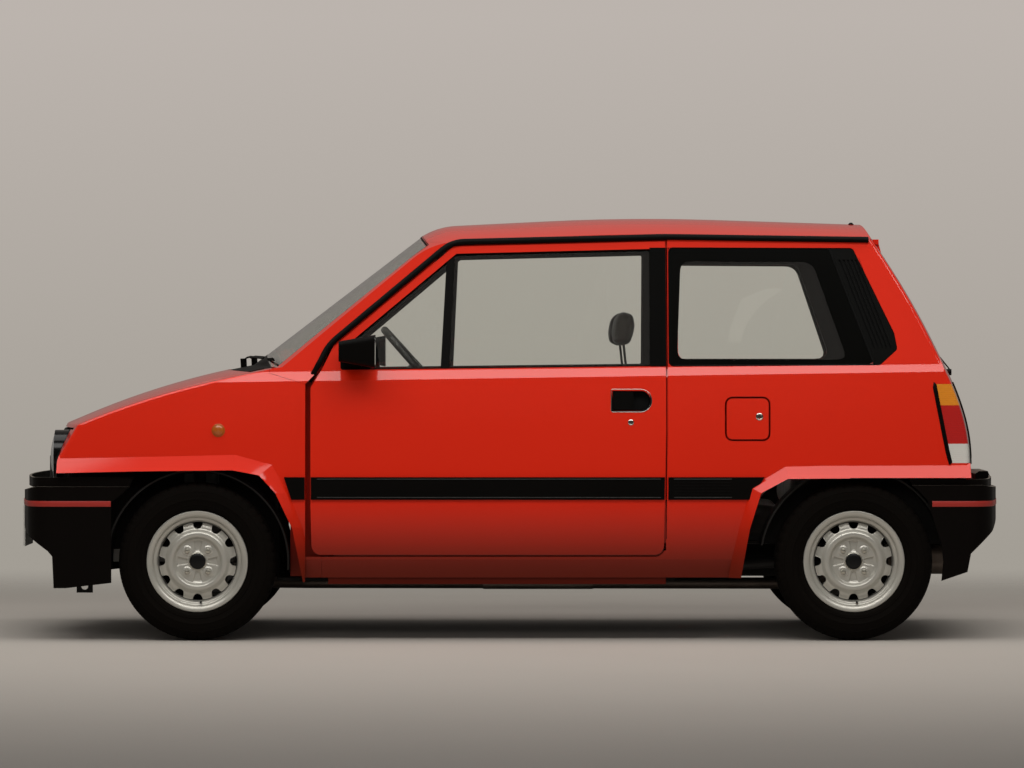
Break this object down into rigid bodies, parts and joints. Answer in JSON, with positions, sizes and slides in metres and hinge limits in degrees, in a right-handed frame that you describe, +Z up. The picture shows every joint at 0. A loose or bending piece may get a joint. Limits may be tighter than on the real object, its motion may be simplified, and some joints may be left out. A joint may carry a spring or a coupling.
{
  "type": "hatchback",
  "caption": "Small boxy hatchback car with side doors, bonnet, tailgate, fuel flap, steered front wheels and a furnished cabin.",
  "frame": {"origin": "on the ground under the middle of the car's length and width", "axes": "+X towards the tail, +Y towards the car's right side, +Z up"},
  "size_m": [3.38, 1.764, 1.4409],
  "materials": {
    "body_paint": "gloss",
    "under_paint": "satin",
    "black_plastic": "matte",
    "bumper_plastic": "matte",
    "glass": "clear",
    "lamp_lens": "clear",
    "tail_lens": "gloss",
    "rim_silver": "satin",
    "tyre": "matte",
    "seat_cloth": "woven",
    "trim_plastic": "grained",
    "cast_iron": "cast",
    "steel": "satin",
    "rubber": "matte",
    "aluminium": "satin",
    "plate": "satin"
  },
  "bodies": {
    "body": {"floor_pan": "under_paint", "bulkhead": "body_paint", "front_pillars": "body_paint", "sills": "body_paint", "quarter_panels": "body_paint", "roof_panel": "body_paint", "front_fenders": "body_paint", "inner_fenders": "under_paint", "rear_wheel_houses": "under_paint", "front_panel": "body_paint", "grille": "black_plastic", "headlights": "lamp_lens", "front_bumper": "bumper_plastic", "rear_bumper": "bumper_plastic", "tail_panel": "body_paint", "tail_lights": "tail_lens", "cowl_panel": "black_plastic", "windscreen": "glass", "quarter_glass": "glass", "pillar_vents": "black_plastic", "drip_rails": "black_plastic", "side_mouldings": "black_plastic", "fuel_pocket": "under_paint", "dashboard": "trim_plastic", "steering_column": "trim_plastic", "front_seats": "seat_cloth", "rear_seat": "seat_cloth", "engine": "aluminium", "radiator": "aluminium", "front_subframe": "cast_iron", "front_struts": "steel", "rear_suspension": "cast_iron", "exhaust": "steel", "fuel_tank": "under_paint", "wipers": "black_plastic", "front_plate": "plate"},
    "door_left": {"door_left": "body_paint", "door_glass_left": "glass", "door_trim_left": "black_plastic"},
    "door_right": {"door_right": "body_paint", "door_glass_right": "glass", "door_trim_right": "black_plastic"},
    "hood": {"hood": "body_paint"},
    "tailgate": {"tailgate": "body_paint", "tailgate_glass": "glass", "rear_wiper": "black_plastic"},
    "fuel_flap": {"fuel_flap": "body_paint"},
    "knuckle_left": {"knuckle_left": "cast_iron"},
    "knuckle_right": {"knuckle_right": "cast_iron"},
    "steering_wheel": {"steering_wheel": "rubber"},
    "wheel_fl": {"rim_fl": "rim_silver", "tyre_fl": "tyre"},
    "wheel_fr": {"rim_fr": "rim_silver", "tyre_fr": "tyre"},
    "wheel_rl": {"rim_rl": "rim_silver", "tyre_rl": "tyre"},
    "wheel_rr": {"rim_rr": "rim_silver", "tyre_rr": "tyre"}
  },
  "joints": [
    {"name": "door_left_hinge", "type": "hinge", "parent": "body", "child": "door_left", "pos_m": [-0.604, -0.733, 0.42], "axis": [0, -0.0468, -0.9989], "range_deg": [0, 65]},
    {"name": "door_right_hinge", "type": "hinge", "parent": "body", "child": "door_right", "pos_m": [-0.604, 0.733, 0.42], "axis": [0, -0.0468, 0.9989], "range_deg": [0, 65]},
    {"name": "hood_hinge", "type": "hinge", "parent": "body", "child": "hood", "pos_m": [-0.85, 0, 0.894], "axis": [0, 1, 0], "range_deg": [0, 48]},
    {"name": "tailgate_hinge", "type": "hinge", "parent": "body", "child": "tailgate", "pos_m": [1.268, 0, 1.352], "axis": [0, -1, 0], "range_deg": [0, 80]},
    {"name": "fuel_flap_hinge", "type": "hinge", "parent": "body", "child": "fuel_flap", "pos_m": [0.705, -0.724, 0.75], "axis": [0, 0, -1], "range_deg": [0, 100]},
    {"name": "steer_left", "type": "hinge", "parent": "body", "child": "knuckle_left", "pos_m": [-1.055, -0.65, 0.268], "axis": [0, 0, 1], "range_deg": [-33, 33]},
    {"name": "steer_right", "type": "hinge", "parent": "body", "child": "knuckle_right", "pos_m": [-1.055, 0.65, 0.268], "axis": [0, 0, 1], "range_deg": [-33, 33]},
    {"name": "steering_wheel_turn", "type": "hinge", "parent": "body", "child": "steering_wheel", "pos_m": [-0.322, 0.35, 0.914], "axis": [0.749, 0, 0.6626], "range_deg": [-495, 495]},
    {"name": "wheel_fl_spin", "type": "hinge", "parent": "knuckle_left", "child": "wheel_fl", "pos_m": [-1.055, -0.685, 0.268], "axis": [0, 1, 0], "continuous": true},
    {"name": "wheel_fr_spin", "type": "hinge", "parent": "knuckle_right", "child": "wheel_fr", "pos_m": [-1.055, 0.685, 0.268], "axis": [0, 1, 0], "continuous": true},
    {"name": "wheel_rl_spin", "type": "hinge", "parent": "body", "child": "wheel_rl", "pos_m": [1.165, -0.685, 0.268], "axis": [0, 1, 0], "continuous": true},
    {"name": "wheel_rr_spin", "type": "hinge", "parent": "body", "child": "wheel_rr", "pos_m": [1.165, 0.685, 0.268], "axis": [0, 1, 0], "continuous": true}
  ],
  "couplings": [
    {"joint": "steer_right", "follows": "steer_left", "ratio": 1},
    {"joint": "steering_wheel_turn", "follows": "steer_left", "ratio": 15}
  ]
}
